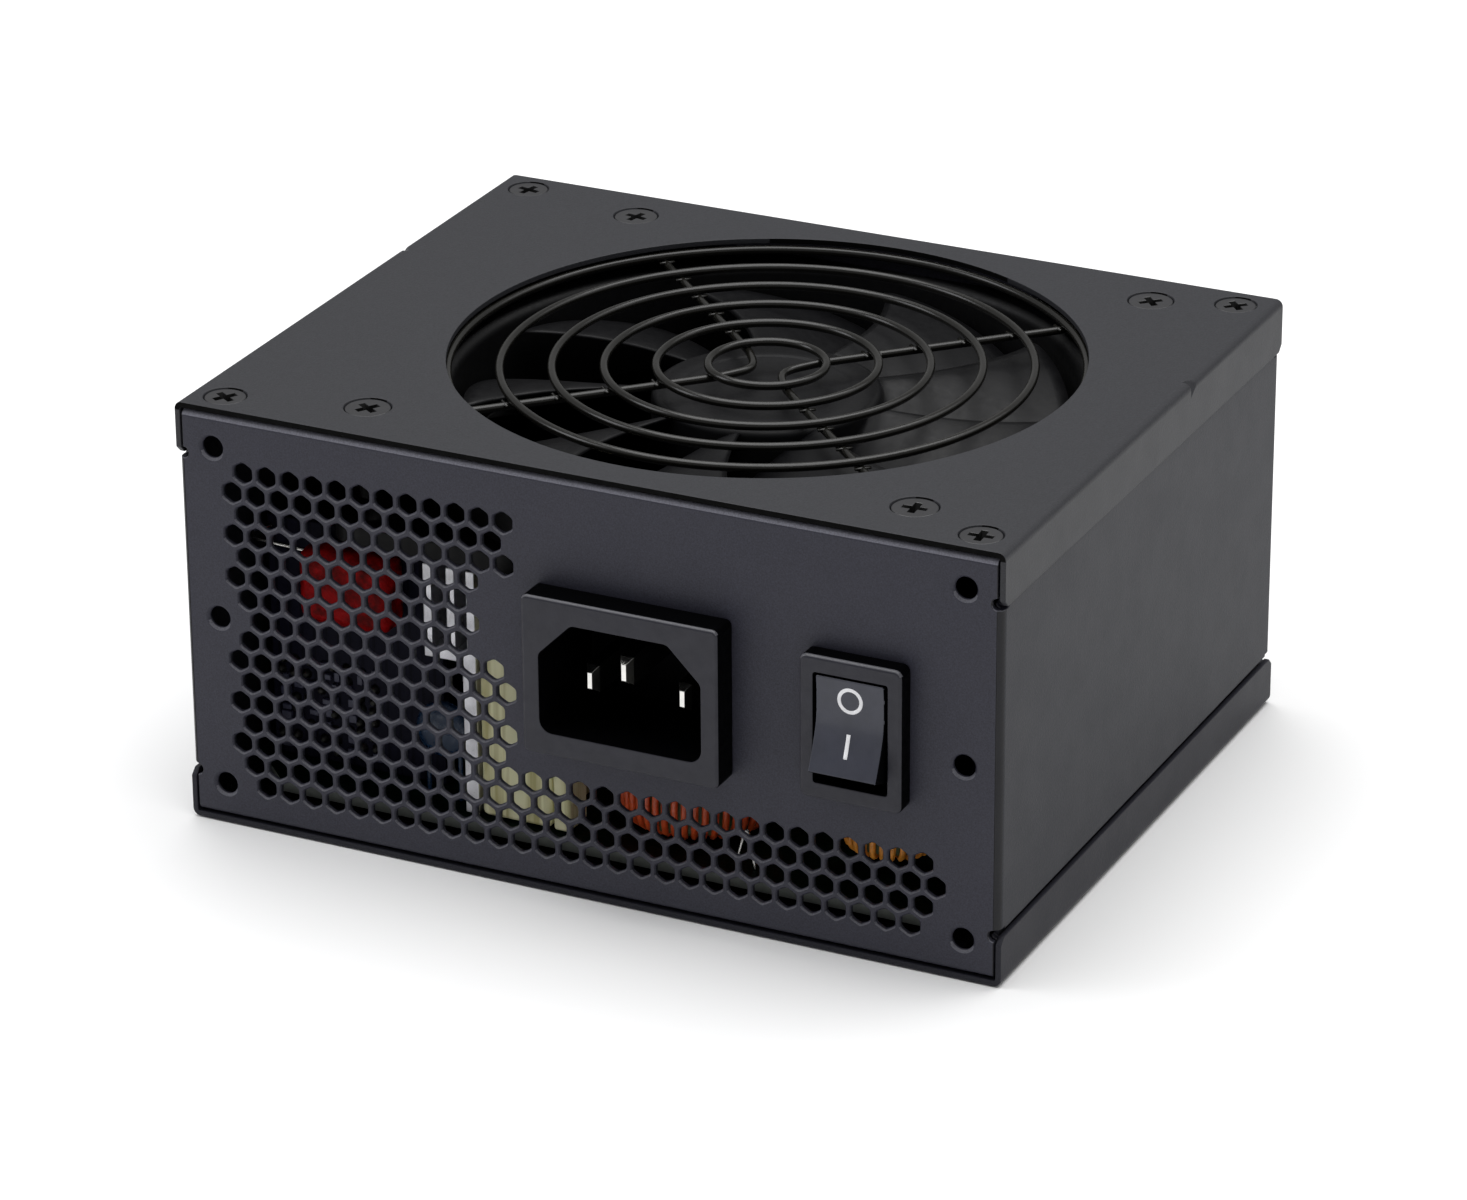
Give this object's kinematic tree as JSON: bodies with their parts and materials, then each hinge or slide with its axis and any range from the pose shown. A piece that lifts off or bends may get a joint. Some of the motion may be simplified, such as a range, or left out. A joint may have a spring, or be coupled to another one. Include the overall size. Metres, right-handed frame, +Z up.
{
  "type": "computer power supply unit",
  "caption": "Compact computer power supply in a charcoal steel case, with a fan and wire guard on top, and honeycomb vents, a mains inlet and a rocker switch behind.",
  "frame": {"origin": "middle of the flat underside of the housing", "axes": "+Z up through the fan, -Y out of the panel with the mains inlet and switch, +X to the right when that panel is faced"},
  "size_m": [0.125, 0.1057, 0.0635],
  "materials": {
    "coated_steel": "fine textured powder coat, charcoal, matt",
    "coated_steel_top": "fine textured powder coat, charcoal, matt",
    "guard_wire": "semi-gloss black coating on drawn wire",
    "fan_plastic": "moulded black",
    "fan_blade_plastic": "moulded black with a soft sheen",
    "shaft_steel": "ground",
    "bearing_bronze": "sintered",
    "magnet": "bonded ferrite",
    "inlet_plastic": "moulded black, fine texture in front",
    "rocker_plastic": "satin moulded black with white marks",
    "contact_metal": "nickel plated",
    "circuit_board": "green solder mask",
    "dark_board": "dark solder mask",
    "insulating_film": "thin black film",
    "yellow_case": "pale yellow moulded case",
    "red_case": "dark red moulded case",
    "blue_coating": "dipped epoxy",
    "capacitor_sleeve": "shrunk film sleeve",
    "bare_aluminium": "as extruded",
    "black_aluminium": "black anodised",
    "ferrite": "sintered ferrite",
    "ring_core": "coated ring core",
    "copper_wire": "enamelled copper",
    "yellow_tape": "polyester tape",
    "socket_plastic": "moulded black",
    "screw_steel": "black oxide"
  },
  "bodies": {
    "chassis": {"main_shell": "coated_steel", "top_cover": "coated_steel_top", "bottom_tray": "coated_steel", "connector_panel": "coated_steel", "fan_guard": "guard_wire", "fan_frame": "fan_plastic", "fan_bearing": "bearing_bronze", "fan_stator": "copper_wire", "inlet_housing": "inlet_plastic", "inlet_pin_line": "contact_metal", "inlet_pin_neutral": "contact_metal", "inlet_pin_earth": "contact_metal", "switch_housing": "inlet_plastic", "switch_terminal_1": "contact_metal", "switch_terminal_2": "contact_metal", "main_board": "circuit_board", "insulation_sheet": "insulating_film", "filter_capacitor_large": "yellow_case", "filter_capacitor_small": "yellow_case", "primary_heatsink": "bare_aluminium", "daughter_board": "dark_board", "film_capacitor": "red_case", "disc_capacitor": "blue_coating", "filter_choke_core": "ring_core", "filter_choke_winding": "copper_wire", "switch_choke_core": "ring_core", "switch_choke_winding": "copper_wire", "bulk_capacitor": "capacitor_sleeve", "boost_inductor_core": "ferrite", "boost_inductor_coil": "copper_wire", "transformer_core": "ferrite", "transformer_coil": "yellow_tape", "secondary_heatsink": "black_aluminium", "output_board": "circuit_board", "output_capacitor_1": "capacitor_sleeve", "output_capacitor_2": "capacitor_sleeve", "output_capacitor_3": "capacitor_sleeve", "socket_mainboard_long": "socket_plastic", "socket_mainboard_short": "socket_plastic", "socket_processor": "socket_plastic", "socket_graphics": "socket_plastic", "socket_drives_1": "socket_plastic", "socket_drives_2": "socket_plastic", "cover_screw_1": "screw_steel", "cover_screw_2": "screw_steel", "cover_screw_3": "screw_steel", "cover_screw_4": "screw_steel", "tray_screw_1": "screw_steel", "tray_screw_2": "screw_steel", "tray_screw_3": "screw_steel", "tray_screw_4": "screw_steel", "fan_screw_1": "screw_steel", "fan_screw_2": "screw_steel", "fan_screw_3": "screw_steel", "fan_screw_4": "screw_steel"},
    "fan_spinner": {"fan_rotor": "fan_blade_plastic", "fan_shaft": "shaft_steel", "fan_magnet": "magnet"},
    "rocker_button": {"rocker": "rocker_plastic"}
  },
  "joints": [
    {"name": "fan_spin", "type": "hinge", "parent": "chassis", "child": "fan_spinner", "pos_m": [0.0041, 0.0006, 0.052], "axis": [0, 0, 1], "continuous": true},
    {"name": "rocker_tilt", "type": "hinge", "parent": "chassis", "child": "rocker_button", "pos_m": [0.0416, -0.048, 0.0347], "axis": [1, 0, 0], "range_deg": [0, 22]}
  ]
}
